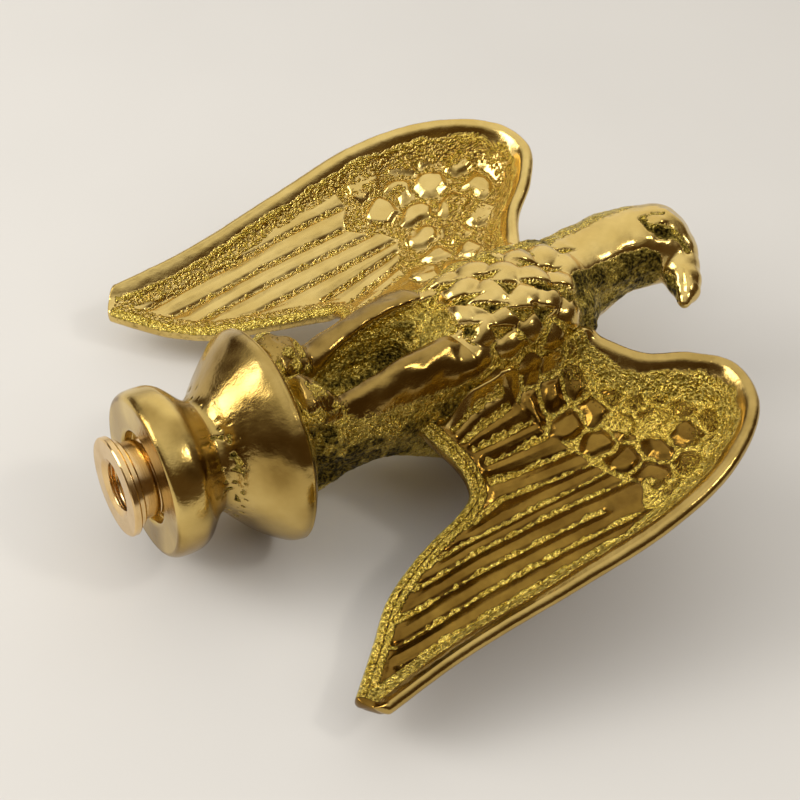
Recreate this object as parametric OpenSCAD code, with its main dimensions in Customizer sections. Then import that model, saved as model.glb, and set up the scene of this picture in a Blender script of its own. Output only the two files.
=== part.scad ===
// Brass eagle finial for an indoor flag pole, with a screwed pole adapter.
// The finial lies on its back: the pole axis is the X axis, the pole end is at x = 0 and the
// head is at high x. The breast faces +Z, and the eagle's left wing is on the -Y side.
// Lengths are in millimetres.

/* [Pole adapter] */
// Radius of the adapter's flange
flange_r = 11.5; // [10.9:0.1:13]
// Thickness of the flange
flange_t = 1.8; // [1.2:0.1:2.4]
// Radius of the adapter's pole thread, at its minor diameter
pole_bore_r = 5.35; // [4:0.05:6]
// Radius of the adapter's shank, over its own outside thread
shank_r = 9; // [8:0.1:9.5]
// Length of the adapter, flange included
adapter_len = 21; // [18:0.5:23]
// Radius of the spacer washer behind the flange
washer_r = 10.1; // [9.6:0.1:10.6]
// Thickness of the spacer washer
washer_t = 1.6; // [1:0.1:2]

/* [Pedestal] */
// Distance from the adapter's end face to the collar's face
collar_x = 6.8; // [6:0.1:8]
// Radius of the turned collar
collar_r = 19.3; // [18:0.1:21]
// Radius of the waist between collar and disc
waist_r = 13.4; // [12:0.1:15]
// Place of the disc's rim along the pole axis
disc_x = 35.5; // [33:0.5:38]
// Radius of the disc, the lowest point that the finial rests on
disc_r = 25.3; // [24:0.1:27]

/* [Eagle] */
// Height of the breast above the pole axis
breast_z = 25.5; // [23:0.5:28]
// Half the width of the body at the breast
body_half_w = 18; // [16:0.5:20]
// Half the width of the tail block between the legs and the back
tail_half_w = 14; // [12:0.5:15]
// Thickness of a wing's edge
wing_edge_t = 3.6; // [2.5:0.1:5]
// Depth of the dished front of a wing below its rim
wing_dish = 4.2; // [2:0.1:6]

/* [Smoothness] */
// Points around each lofted section
ring_points = 24; // [16:2:32]
// Stations along the span of a wing
span_steps = 27; // [18:3:36]
// Stations across the chord of a wing
chord_steps = 8; // [6:1:12]
// Facets of the turned surfaces
turned_facets = 96; // [48:12:144]

/* [Hidden] */

casting_gold = [0.72, 0.56, 0.24];
machined_gold = [0.85, 0.68, 0.42];

running_gap = 0.05;
end_chamfer = 1.2;
mouth_depth = 0.9;
mouth_flare = 1.2;
socket_r = shank_r + running_gap;
socket_end_x = adapter_len + 5;
counterbore_r = washer_r + 0.7;
counterbore_depth = 2.4;
floor_z = -disc_r;
leg_y = 7.4;
spline_bulge = 0.7;

// Catmull-Rom point at parameter u, from 0 to 1, on the open curve through the points p.
function spline(p, u) =
    let (n = len(p) - 1, k = min(floor(u * n), n - 1), f = u * n - k,
         a = p[max(k - 1, 0)], b = p[k], c = p[k + 1], d = p[min(k + 2, n)])
    0.5 * (2 * b + (c - a) * f + (2 * a - 5 * b + 4 * c - d) * f * f
           + (3 * b - a - 3 * c + d) * f * f * f);

function sign_power(v, e) = sign(v) * pow(abs(v), e);

// One ring of a loft. A section is [centre, half width, half height, turn about Z, squareness].
function ring(s) =
    [for (i = [0 : ring_points - 1])
        let (a = 360 * i / ring_points,
             w = s[1] * sign_power(cos(a), 2 / s[4]),
             h = s[2] * sign_power(sin(a), 2 / s[4]))
        s[0] + [-w * sin(s[3]), w * cos(s[3]), h]];

// Flat end of a skin: a strip of triangles across the ring whose first point is number first.
function cap(first, n) =
    [for (k = [0 : n / 2 - 2])
        let (a = first + k, b = first + n - 2 - k)
        each [[a, a + 1, b], [a, b, b + 1]]];

function flipped(faces) = [for (f = faces) [f[2], f[1], f[0]]];

// Closed solid through rings of equal, even length, in the order of the sections.
module skin(rings) {
    count = len(rings);
    n = len(rings[0]);
    points = [for (r = rings) each r];
    sides = [for (k = [0 : count - 2], i = [0 : n - 1])
        let (j = (i + 1) % n, a = k * n + i, b = k * n + j)
        each [[a, b + n, b], [a, a + n, b + n]]];
    polyhedron(points, concat(sides, cap(0, n), flipped(cap((count - 1) * n, n))));
}

// Smooth loft: the few given sections are joined by a spline, with steps rings in all.
module loft(sections, steps) {
    centres = [for (s = sections) s[0]];
    shapes = [for (s = sections) [s[1], s[2], s[3]]];
    skin([for (k = [0 : steps])
        let (u = k / steps, c = spline(centres, u), s = spline(shapes, u))
        ring([c, s[0], s[1], s[2], sections[0][4]])]);
}

// Solid turned about the pole axis from [x, radius] points.
module turned(profile) {
    rotate([0, 90, 0])
        rotate_extrude($fn = turned_facets)
            polygon([for (p = profile) [p[1], p[0]]]);
}

// Plain cylinder along the pole axis.
module bore(r, x0, x1) {
    translate([x0, 0, 0])
        rotate([0, 90, 0])
            cylinder(r = r, h = x1 - x0, $fn = turned_facets);
}

// Flanged bushing that screws onto the pole and into the collar.
module adapter_bushing() {
    color(machined_gold)
        difference() {
            turned([[0, 0], [0, flange_r - 0.3], [0.3, flange_r], [flange_t, flange_r],
                    [flange_t, shank_r], [adapter_len - end_chamfer, shank_r],
                    [adapter_len, shank_r - end_chamfer], [adapter_len, 0]]);
            bore(pole_bore_r, -1, adapter_len + 1);
            turned([[0, 0], [0, pole_bore_r + mouth_flare], [mouth_depth, pole_bore_r],
                    [mouth_depth, 0]]);
        }
}

// Washer that rides on the shank behind the flange.
module spacer_washer() {
    front = flange_t + running_gap;
    back = flange_t + washer_t;
    color(machined_gold)
        difference() {
            turned([[front, 0], [front, washer_r], [back - 0.3, washer_r],
                    [back, washer_r - 0.3], [back, 0]]);
            bore(socket_r, front - 1, back + 1);
        }
}

// Collar, waist and double-cone disc, with the socket that takes the adapter.
module pedestal() {
    collar_end = collar_x + 7.2;
    waist_x = collar_x + 14.4;
    back_x = disc_x + 6;
    color(casting_gold)
        difference() {
            turned(concat(
                [[collar_x, 0], [collar_x, collar_r - 1], [collar_x + 0.4, collar_r - 0.3],
                 [collar_x + 1, collar_r], [collar_end, collar_r + 0.2]],
                [for (a = [15 : 15 : 165])
                    [collar_end + (waist_x - collar_end) * a / 180,
                     waist_r + (collar_r + 0.2 - waist_r) * (1 + cos(a)) / 2]],
                [[waist_x, waist_r], [waist_x + 2, waist_r + 1], [waist_x + 3.6, waist_r + 3.4]],
                [for (a = [150 : -20 : 30])
                    [disc_x + 3.2 * cos(a), disc_r - 3.2 + 3.2 * sin(a)]],
                [[back_x, waist_r + 3], [back_x + 2, waist_r - 2], [back_x + 2, 0]]));
            bore(socket_r, collar_x - 1, socket_end_x);
            bore(counterbore_r, collar_x - 1, collar_x + counterbore_depth);
        }
}

// Clawed foot on the back of the disc.
module foot(side) {
    y = side * leg_y;
    color(casting_gold)
        loft([[[disc_x + 3, y, 15], 5.5, 3.5, 0, 2], [[disc_x + 7, y, 16], 6.5, 4.6, 0, 2],
              [[disc_x + 12, y, 13], 5.6, 4.6, 0, 2], [[disc_x + 15, y, 11], 4, 3.4, 0, 2]], 8);
}

// Feathered thigh and shin, from the foot to the belly.
module leg(side) {
    y = side * leg_y;
    color(casting_gold)
        loft([[[disc_x + 9, y, 8], 5.4, 6, 0, 2.4], [[disc_x + 18, y, 8], 6, 8, 0, 2.4],
              [[disc_x + 30, y, 9], 6.9, 10, 0, 2.4], [[disc_x + 41, y, 10], 7, 9.6, 0, 2.4],
              [[disc_x + 47, y, 10], 4.6, 6.4, 0, 2.4]], 12);
}

// Deep block behind the legs, arched on its back between the disc and the body.
module tail_block() {
    color(casting_gold)
        loft([[[disc_x + 4, 0, 0], tail_half_w, 17, 0, 5], [[disc_x + 12, 0, -1], tail_half_w, 10, 0, 5],
              [[disc_x + 24, 0, 0], tail_half_w, 6.5, 0, 5], [[disc_x + 36, 0, -3], tail_half_w, 10, 0, 5],
              [[disc_x + 48, 0, -7], tail_half_w, 14, 0, 5]], 14);
}

// Body from belly to shoulders, flat along the back where it rests.
module torso() {
    mid = (breast_z + floor_z) / 2;
    deep = (breast_z - floor_z) / 2 - spline_bulge;
    color(casting_gold)
        loft([[[disc_x + 38, 0, 0], 11, 13, 0, 2.6], [[disc_x + 48, 0, mid + 0.5], 15.5, deep - 3.4, 0, 2.6],
              [[disc_x + 60, 0, mid], body_half_w, deep, 0, 2.6],
              [[disc_x + 72, 0, mid], body_half_w, deep, 0, 2.6],
              [[disc_x + 83, 0, mid + 4], 15, deep - 8, 0, 2.6],
              [[disc_x + 88, 0, mid + 6], 11, deep - 13, 0, 2.6]], 18);
}

// Neck, and the head turned towards the left wing, down to the hooked beak.
module neck_head() {
    color(casting_gold)
        loft([[[118, 1, 8], 13, 14, 10, 2], [[128, 3.5, 11], 11.5, 12.5, 14, 2],
              [[138, 5, 13.5], 10.5, 11, -8, 2], [[147, 2, 14.5], 10, 10.5, -50, 2],
              [[149.5, -6, 14.5], 8.4, 8.4, -84, 2], [[149.5, -11.5, 14], 5.6, 5, -96, 2],
              [[147, -16.5, 13.5], 3.2, 2.8, -125, 2], [[142.5, -18.6, 13.5], 1, 1, -150, 2]], 28);
}

// Leading edge of a wing, from the neck round the shoulder to the tip.
leading = [[112, 9, 13], [116, 19, 15], [121.5, 28, 16], [129, 35, 19.5], [134, 44, 22],
           [130.5, 55.5, 21.5], [116, 65, 18.5], [97, 69, 13], [76, 68.5, 5], [51, 67.5, -4],
           [31, 69, -10.5]];
// Trailing edge, from the legs round the notch to the tip.
trailing = [[70, 9, 4], [72.5, 20, 3], [75.5, 28, 0], [75.5, 34, -4], [70, 37.5, -6],
            [61, 40.5, -7.5], [52.5, 44, -9.5], [45.5, 48, -11.5], [39, 54.5, -13.5],
            [33, 60.5, -13.5], [28.5, 65, -13]];

// How far the dished front lies below the rim at station u along the span and v across the chord.
function dish(u, v) =
    wing_dish * pow(1 - pow(2 * v - 1, 4), 1.5) * min(1, (1 - u) * 5) * min(1, 0.35 + u * 3);

// Ring of points round a wing at station u: over the dished front, then back under it.
function wing_ring(u) =
    let (a = spline(leading, u), b = spline(trailing, u),
         front = [for (k = [0 : chord_steps])
             let (v = k / chord_steps) a + (b - a) * v - [0, 0, dish(u, v)]],
         back = [for (k = [chord_steps : -1 : 0])
             let (v = k / chord_steps) a + (b - a) * v
                 - [0, 0, dish(u, v) * 1.1 + wing_edge_t * (1 + 0.5 * sin(180 * v) * (1 - u))]])
    concat(front, back);

module wing() {
    skin([for (k = [0 : span_steps]) wing_ring(k / span_steps)]);
}

module left_wing() {
    color(casting_gold)
        mirror([0, 1, 0])
            wing();
}

module right_wing() {
    color(casting_gold)
        wing();
}

module left_foot() foot(-1);
module right_foot() foot(1);
module left_leg() leg(-1);
module right_leg() leg(1);

adapter_bushing();
spacer_washer();
pedestal();
left_foot();
right_foot();
left_leg();
right_leg();
tail_block();
torso();
neck_head();
left_wing();
right_wing();
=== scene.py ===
"""Looks of the brass eagle pole finial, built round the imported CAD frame.

Shapes are worked out in millimetres in the CAD frame: the pole axis is X, the breast faces +Z
and the eagle's left wing is on the -Y side. They become metres when a mesh is made.
"""

import itertools
import math
from collections import namedtuple

import bpy
import numpy as np
import openvdb
from mathutils import Matrix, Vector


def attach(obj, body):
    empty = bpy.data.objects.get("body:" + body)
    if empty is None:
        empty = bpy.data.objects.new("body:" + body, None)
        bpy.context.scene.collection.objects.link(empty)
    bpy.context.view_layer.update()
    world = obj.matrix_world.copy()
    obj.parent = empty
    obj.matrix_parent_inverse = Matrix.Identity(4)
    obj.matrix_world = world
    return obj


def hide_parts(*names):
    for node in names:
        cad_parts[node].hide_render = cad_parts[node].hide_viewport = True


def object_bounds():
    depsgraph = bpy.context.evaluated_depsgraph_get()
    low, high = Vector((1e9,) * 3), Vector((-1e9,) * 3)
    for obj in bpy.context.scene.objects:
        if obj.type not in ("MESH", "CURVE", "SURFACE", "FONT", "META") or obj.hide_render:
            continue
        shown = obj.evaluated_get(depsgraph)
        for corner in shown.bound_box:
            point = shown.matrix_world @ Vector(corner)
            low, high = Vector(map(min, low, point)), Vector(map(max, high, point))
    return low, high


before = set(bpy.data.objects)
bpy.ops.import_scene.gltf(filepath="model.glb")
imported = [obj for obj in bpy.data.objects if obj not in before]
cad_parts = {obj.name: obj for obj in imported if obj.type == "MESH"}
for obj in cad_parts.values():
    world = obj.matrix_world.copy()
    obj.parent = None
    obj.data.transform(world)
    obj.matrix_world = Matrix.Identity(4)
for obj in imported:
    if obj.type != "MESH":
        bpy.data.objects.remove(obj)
CAD_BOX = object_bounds()

MM = 0.001
LEFT, RIGHT = -1, 1

# ---- numbers and small tools

LATTICE = 32


def ramp(value, low, high):
    """Smooth step from 0 at low to 1 at high."""
    t = np.clip((value - low) / (high - low), 0, 1)
    return t * t * (3 - 2 * t)


def between(value, low, full, fade, high):
    """Smooth step up from low to full, and down again from fade to high."""
    return ramp(value, low, full) * ramp(value, high, fade)


def bump_of(distance, width):
    """Bell curve of a distance."""
    return np.exp(-((distance / width) ** 2))


def smooth_min(a, b, reach):
    """Lower of a and b, with the corner between them rounded over reach."""
    gap = np.maximum(reach - np.abs(a - b), 0) / reach
    return np.minimum(a, b) - gap * gap * reach / 4


def smooth_max(a, b, reach):
    """Higher of a and b, with the corner between them rounded over reach."""
    return -smooth_min(-a, -b, reach)


def catmull(points, u):
    """Catmull-Rom curve through points at each parameter of u, from 0 to 1."""
    points = np.asarray(points, float)
    last = len(points) - 1
    k = np.minimum((u * last).astype(int), last - 1)
    f = (u * last - k)[:, None]
    a, b = points[np.maximum(k - 1, 0)], points[k]
    c, d = points[k + 1], points[np.minimum(k + 2, last)]
    cubic = -a + 3 * b - 3 * c + d
    return 0.5 * (2 * b + (c - a) * f + (2 * a - 5 * b + 4 * c - d) * f**2 + cubic * f**3)


def noise(points, size, seed):
    """Smooth random values from -1 to 1 with features of the given size."""
    table = np.random.RandomState(seed).uniform(-1, 1, (LATTICE,) * 3)
    q = points / size
    cell = np.floor(q).astype(int)
    f = q - cell
    f = f * f * (3 - 2 * f)
    total = np.zeros(len(q))
    for corner in itertools.product((0, 1), repeat=3):
        weight = np.prod(np.where(corner, f, 1 - f), axis=1)
        i, j, k = ((cell + np.array(corner)) % LATTICE).T
        total += weight * table[i, j, k]
    return total


def grain(points, size, seed):
    """Noise in three octaves, as on a sand-cast skin."""
    return (noise(points, size, seed) + 0.6 * noise(points, size / 2, seed + 1)
            + 0.4 * noise(points, size / 4, seed + 2))


def segment_gaps(points, line):
    """For each segment of a polyline: its start, its direction and the points' gaps to it."""
    line = np.asarray(line, float)
    for a, b in zip(line[:-1], line[1:]):
        along = b - a
        t = np.clip((points - a) @ along / (along @ along), 0, 1)
        yield a, along, points - a - t[:, None] * along


def line_distance(points, line):
    """Distance of each 2-D point to an open polyline."""
    squares = [np.einsum("ij,ij->i", gap, gap) for _, _, gap in segment_gaps(points, line)]
    return np.sqrt(np.min(squares, axis=0))


def cells(points, centres):
    """Distance to the nearest centre, and how far inside its cell each point is."""
    gaps = np.linalg.norm(points[:, None, :] - np.asarray(centres, float)[None], axis=2)
    nearest, second = np.partition(gaps, 1, axis=1)[:, :2].T
    return nearest, (second - nearest) / 2


# ---- meshes


def make_piece(name, points, faces, material, channels=None):
    """Mesh object from points in mm, a list of face arrays, and per-point channels."""
    mesh = bpy.data.meshes.new(name)
    mesh.vertices.add(len(points))
    mesh.vertices.foreach_set("co", (points * MM).astype(np.float32).ravel())
    corners = np.concatenate([f.ravel() for f in faces]).astype(np.int32)
    sizes = np.concatenate([np.full(len(f), f.shape[1]) for f in faces])
    mesh.loops.add(len(corners))
    mesh.loops.foreach_set("vertex_index", corners)
    mesh.polygons.add(len(sizes))
    starts = np.concatenate([[0], np.cumsum(sizes)[:-1]])
    mesh.polygons.foreach_set("loop_start", starts.astype(np.int32))
    mesh.polygons.foreach_set("use_smooth", np.ones(len(sizes), bool))
    mesh.update(calc_edges=True)
    mesh.validate()
    for channel, values in (channels or {}).items():
        layer = mesh.attributes.new(channel, "FLOAT", "POINT")
        layer.data.foreach_set("value", np.clip(values, 0, 1).astype(np.float32))
    mesh.materials.append(material)
    piece = bpy.data.objects.new(name, mesh)
    bpy.context.scene.collection.objects.link(piece)
    return piece


def ring_quads(rows, rings, around):
    """Quads that join each of the first rows rings to the next one, round past the last."""
    k, i = np.meshgrid(np.arange(rows), np.arange(around), indexing="ij")
    j, m = (i + 1) % around, (k + 1) % rings
    return np.stack([k * around + i, k * around + j, m * around + j, m * around + i],
                    axis=-1).reshape(-1, 4)


def tube_faces(rings, around):
    """Quads and end triangles of a closed tube whose last two points are the end centres."""
    i = np.arange(around)
    j = (i + 1) % around
    first, last = rings * around, (rings - 1) * around
    start = np.stack([j, i, np.full(around, first)], axis=1)
    end = np.stack([last + i, last + j, np.full(around, first + 1)], axis=1)
    return [ring_quads(rings - 1, rings, around), start, end]


def finish_piece(piece, body, slot, *nodes):
    """Put a piece under the empty of the body it rides on, and hide the CAD nodes it stands for."""
    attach(piece, body)
    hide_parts(*nodes)


# ---- materials


# Colours come in pairs that a noise blends between.
BRIGHT = ((0.620, 0.440, 0.135), (0.730, 0.540, 0.190))
# BROWN is tarnish, and on the near side also painted dark reflection.
BROWN = ((0.160, 0.086, 0.014), (0.280, 0.166, 0.031))
SANDY = ((0.420, 0.300, 0.040), (0.900, 0.700, 0.170))
GRIME = ((0.030, 0.022, 0.005), (0.300, 0.225, 0.042))
TURNED = ((0.820, 0.590, 0.290), (0.700, 0.480, 0.210))
# Feature sizes of the cast skin in mm.
CLOUD_SIZE = 9.0
MOTTLE_SIZE = 1.6
SAND_SIZE = 0.75
SPECK_SIZE = 0.4
# Strength of each bump layer on the granular and on the polished skin.
SAND_BUMP = (2.3, 0.04)
SPECK_BUMP = (1.0, 0.015)
MOTTLE_BUMP = (0.6, 0.16)
SKIN_BUMP = 0.40
# Polish above which the skin turns from granular to smooth, and pit above which dirt shows.
POLISH_EDGE = (0.33, 0.62)
DIRT_EDGE = (0.35, 0.8)
# How much the mottle and the sand break up those two edges.
MOTTLE_FUZZ = (-0.13, 0.13)
SAND_FUZZ = (-0.2, 0.2)
DIRT_FUZZ = (-0.25, 0.25)
# Roughness of the granular and the polished skin, and what clouds and dirt add to it.
CAST_ROUGH = (0.17, 0.18)
CLOUD_ROUGH = (-0.03, 0.07)
DIRT_ROUGH = (0.0, 0.35)
# Turned brass: ring width, stain size and bump in mm, and roughness over rings and stains.
RING_SIZE = 0.22
STAIN_SIZE = 5.0
RING_BUMP = 0.02
RING_ROUGH = (0.12, 0.2)
STAIN_ROUGH = (0.0, 0.1)
# Paper: tooth and cloud sizes and tooth height in mm, how much the clouds darken, roughness.
TOOTH_SIZE = 0.6
PAPER_CLOUD = 90.0
TOOTH_HEIGHT = 0.05
CLOUD_SHADE = 0.97
PAPER_ROUGH = 0.85


def new_material(name):
    """A material, its node tree and its shader."""
    material = bpy.data.materials.new(name)
    material.use_nodes = True
    tree = material.node_tree
    return material, tree, tree.nodes["Principled BSDF"]


def add_node(tree, kind, links=None, **settings):
    """A node with linked sockets, and with settings of its sockets or of itself."""
    node = tree.nodes.new(kind)
    for key, value in settings.items():
        if key in node.inputs:
            node.inputs[key].default_value = value
        else:
            setattr(node, key, value)
    for socket, source in (links or {}).items():
        tree.links.new(source, node.inputs[socket])
    return node


def mix_colour(tree, factor, a, b):
    """Blend from a to b, each a colour or a socket."""
    node = add_node(tree, "ShaderNodeMix", data_type="RGBA")
    for index, value in ((0, factor), (6, a), (7, b)):
        if isinstance(value, tuple):
            node.inputs[index].default_value = (*value, 1)
        elif isinstance(value, float):
            node.inputs[index].default_value = value
        else:
            tree.links.new(value, node.inputs[index])
    return node.outputs[2]


def maths(tree, operation, *values):
    """Result of a maths node on numbers or sockets."""
    node = add_node(tree, "ShaderNodeMath", operation=operation)
    for index, value in enumerate(values):
        if isinstance(value, (int, float)):
            node.inputs[index].default_value = value
        else:
            tree.links.new(value, node.inputs[index])
    return node.outputs[0]


def map_range(tree, value, low, high, to_low=0.0, to_high=1.0):
    """Straight-line map of low..high to to_low..to_high, clamped."""
    node = add_node(tree, "ShaderNodeMapRange", {"Value": value})
    for socket, number in (("From Min", low), ("From Max", high), ("To Min", to_low),
                           ("To Max", to_high)):
        node.inputs[socket].default_value = number
    return node.outputs[0]


def noise_node(tree, coordinates, size, detail=3.0, roughness=0.6):
    """Noise texture whose features measure about size millimetres."""
    node = add_node(tree, "ShaderNodeTexNoise", {"Vector": coordinates}, Scale=1 / (size * MM),
                    Detail=detail, Roughness=roughness)
    return node.outputs["Fac"]


def cast_brass():
    """Aged cast brass: hand-polished high spots, granular skin in the hollows, dark pits.

    The channels polish, pit and tarnish_and_dark_reflection of a mesh say where each of them is; the
    last is brown tarnish, and on the near side also a painted dark reflection.
    """
    material, tree, shader = new_material("cast_brass")
    place = add_node(tree, "ShaderNodeTexCoord").outputs["Object"]
    polish, pit, tarnish_and_dark_reflection = (
        add_node(tree, "ShaderNodeAttribute", attribute_name=channel).outputs["Fac"]
        for channel in ("polish", "pit", "tarnish_and_dark_reflection"))

    clouds = noise_node(tree, place, CLOUD_SIZE)
    mottle = noise_node(tree, place, MOTTLE_SIZE, 4.0)
    sand = noise_node(tree, place, SAND_SIZE, 1.0)
    speck = noise_node(tree, place, SPECK_SIZE, 1.0)

    fuzz = maths(tree, "ADD", map_range(tree, mottle, 0.3, 0.7, *MOTTLE_FUZZ),
                 map_range(tree, sand, 0.3, 0.7, *SAND_FUZZ))
    smooth = map_range(tree, maths(tree, "ADD", polish, fuzz), *POLISH_EDGE)

    patches = map_range(tree, clouds, 0.35, 0.65)
    # Tarnish, with painted dark reflection on the near side, turns the bright brass brown.
    bright = mix_colour(tree, tarnish_and_dark_reflection, mix_colour(tree, patches, *BRIGHT),
                        mix_colour(tree, patches, *BROWN))
    sandy = mix_colour(tree, map_range(tree, sand, 0.35, 0.65), *SANDY)
    metal = mix_colour(tree, smooth, sandy, bright)
    grime = mix_colour(tree, map_range(tree, sand, 0.42, 0.66), *GRIME)
    dirt = maths(tree, "ADD", pit, map_range(tree, mottle, 0.35, 0.75, *DIRT_FUZZ))
    dirt = map_range(tree, dirt, *DIRT_EDGE)
    colour = mix_colour(tree, dirt, metal, grime)
    tree.links.new(colour, shader.inputs["Base Color"])

    rough = map_range(tree, smooth, 0.0, 1.0, *CAST_ROUGH)
    rough = maths(tree, "ADD", rough, map_range(tree, clouds, 0.3, 0.7, *CLOUD_ROUGH))
    rough = maths(tree, "ADD", rough, map_range(tree, dirt, 0.0, 1.0, *DIRT_ROUGH))
    tree.links.new(rough, shader.inputs["Roughness"])
    shader.inputs["Metallic"].default_value = 1.0

    layers = [maths(tree, "MULTIPLY", layer, map_range(tree, smooth, 0.0, 1.0, *strength))
              for layer, strength in ((sand, SAND_BUMP), (speck, SPECK_BUMP), (mottle, MOTTLE_BUMP))]
    height = maths(tree, "ADD", maths(tree, "ADD", layers[0], layers[1]), layers[2])
    bump = add_node(tree, "ShaderNodeBump", {"Height": height}, Strength=1.0,
                    Distance=SKIN_BUMP * MM)
    tree.links.new(bump.outputs["Normal"], shader.inputs["Normal"])
    return material


def turned_brass():
    """Bright, freshly turned brass with fine rings about the pole axis."""
    material, tree, shader = new_material("machined_brass")
    place = add_node(tree, "ShaderNodeTexCoord").outputs["Object"]
    split = add_node(tree, "ShaderNodeSeparateXYZ", {"Vector": place})
    squares = [maths(tree, "POWER", split.outputs[axis], 2.0) for axis in ("Y", "Z")]
    radius = maths(tree, "SQRT", maths(tree, "ADD", *squares))
    lathe = add_node(tree, "ShaderNodeCombineXYZ", {"X": split.outputs["X"], "Y": radius})
    rings = noise_node(tree, lathe.outputs["Vector"], RING_SIZE, 2.0)
    stain = noise_node(tree, place, STAIN_SIZE, 4.0)
    colour = mix_colour(tree, map_range(tree, stain, 0.35, 0.7), *TURNED)
    tree.links.new(colour, shader.inputs["Base Color"])
    shader.inputs["Metallic"].default_value = 1.0
    rough = maths(tree, "ADD", map_range(tree, rings, 0.3, 0.7, *RING_ROUGH),
                  map_range(tree, stain, 0.4, 0.7, *STAIN_ROUGH))
    tree.links.new(rough, shader.inputs["Roughness"])
    bump = add_node(tree, "ShaderNodeBump", {"Height": rings}, Strength=0.5,
                    Distance=RING_BUMP * MM)
    tree.links.new(bump.outputs["Normal"], shader.inputs["Normal"])
    return material


def paper(name, colour):
    """Matt paper with a faint tooth."""
    material, tree, shader = new_material(name)
    place = add_node(tree, "ShaderNodeTexCoord").outputs["Object"]
    tooth = noise_node(tree, place, TOOTH_SIZE)
    cloud = noise_node(tree, place, PAPER_CLOUD, 2.0)
    tint = mix_colour(tree, map_range(tree, cloud, 0.3, 0.7), colour,
                      tuple(CLOUD_SHADE * c for c in colour))
    tree.links.new(tint, shader.inputs["Base Color"])
    shader.inputs["Roughness"].default_value = PAPER_ROUGH
    bump = add_node(tree, "ShaderNodeBump", {"Height": tooth}, Strength=0.15,
                    Distance=TOOTH_HEIGHT * MM)
    tree.links.new(bump.outputs["Normal"], shader.inputs["Normal"])
    return material


CASTING = cast_brass()
MACHINED = turned_brass()

# ---- wings

LEADING = [[112, 9, 13], [116, 19, 15], [121.5, 28, 16], [129, 35, 19.5], [134, 44, 22],
           [130.5, 55.5, 21.5], [116, 65, 18.5], [97, 69, 13], [76, 68.5, 5], [51, 67.5, -4],
           [31, 69, -10.5]]
TRAILING = [[70, 9, 4], [72.5, 20, 3], [75.5, 28, 0], [75.5, 34, -4], [70, 37.5, -6],
            [61, 40.5, -7.5], [52.5, 44, -9.5], [45.5, 48, -11.5], [39, 54.5, -13.5],
            [33, 60.5, -13.5], [28.5, 65, -13]]

WING_STATIONS = 420
WING_CHORD = 170
WING_BACK = 40
RIM_STEPS = 9
BAND_ROWS = 4
TIP_RINGS = 6
NORMAL_SPREAD = 25
DOWN = np.array([0, 0, -1.0])

# Rims: how far the edges stand out past the two curves, and how thick they are.
LEAD_RIM = 1.7
TRAIL_BAND = 1.9
BAND_FALL = 0.35
TRAIL_RIM = 0.8
RIM_DEPTH = 3.6
TIP_DIRECTION = np.array([-0.86, 0.5, 0])
TIP_REACH = 1.6
TIP_SMALLEST = 0.12

# The dish: its depth from root to tip, and the distance over which it sinks from the rim.
DISH_AT = [0, 0.2, 0.4, 0.55, 0.7, 0.85, 1]
DISH_DEPTH = [3, 7, 8, 6.5, 4.5, 3, 1.5]
DISH_EDGE = (0.9, 6.2)
DISH_POWER = 0.8
TRAIL_LIP = 1.2
TRAIL_LIP_WIDTH = 2.0
BACK_SWELL = 1.05

# The swell that carries a wing into the breast.
ROOT_RISE = 7.0
ROOT_START = 16.5
ROOT_FADE = 3.2
ROOT_X = (74, 82, 109, 117)
ROOT_INSIDE = (-6, 0)

# The far wing is smoother than the near one, up to this polish.
FAR_SMOOTH = 0.5
FAR_CLEAN = 1.4
NEAR_FAR = [-20, 20]

# Feathers: depth and width of the two steps of a groove side, and the groove's floor.
GROOVE_SIDES = ((0.5, 1.1), (0.6, 3.0))
GROOVE_FLOOR = 0.65
GROOVE_POLISH = (0.2, 0.9)
# Pads: how high they stand and sink, how far they reach, and where they turn polished.
PAD_RISE = 1.35
PAD_SINK = 0.45
PAD_REACH = (5.4, 3.8)
PAD_SLOPE = (0.1, 2.3)
PAD_POLISH = (0.2, 0.8)
PAD_DRIFT = 0.9
PAD_WORN = (16, 8)
PAD_PIT = 0.45
# The sandy wall inside the leading rim.
WALL_START = (2.2, 3.2)
WALL_END = 5.6
WALL_PIT = 0.5
RIM_LAND = 3.4
# Brown covers the near wing, less so on its rim: partly tarnish, partly a painted dark reflection of
# the dim room.
WING_TARNISH_AND_DARK_REFLECTION = (-14, -22)
RIM_WEAR = 0.55
# Casting roughness in mm: grain on sandy skin, then slow and quick waves everywhere.
WING_GRAIN = 0.17
SLOW_WAVE = 0.10
QUICK_WAVE = 0.06

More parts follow.
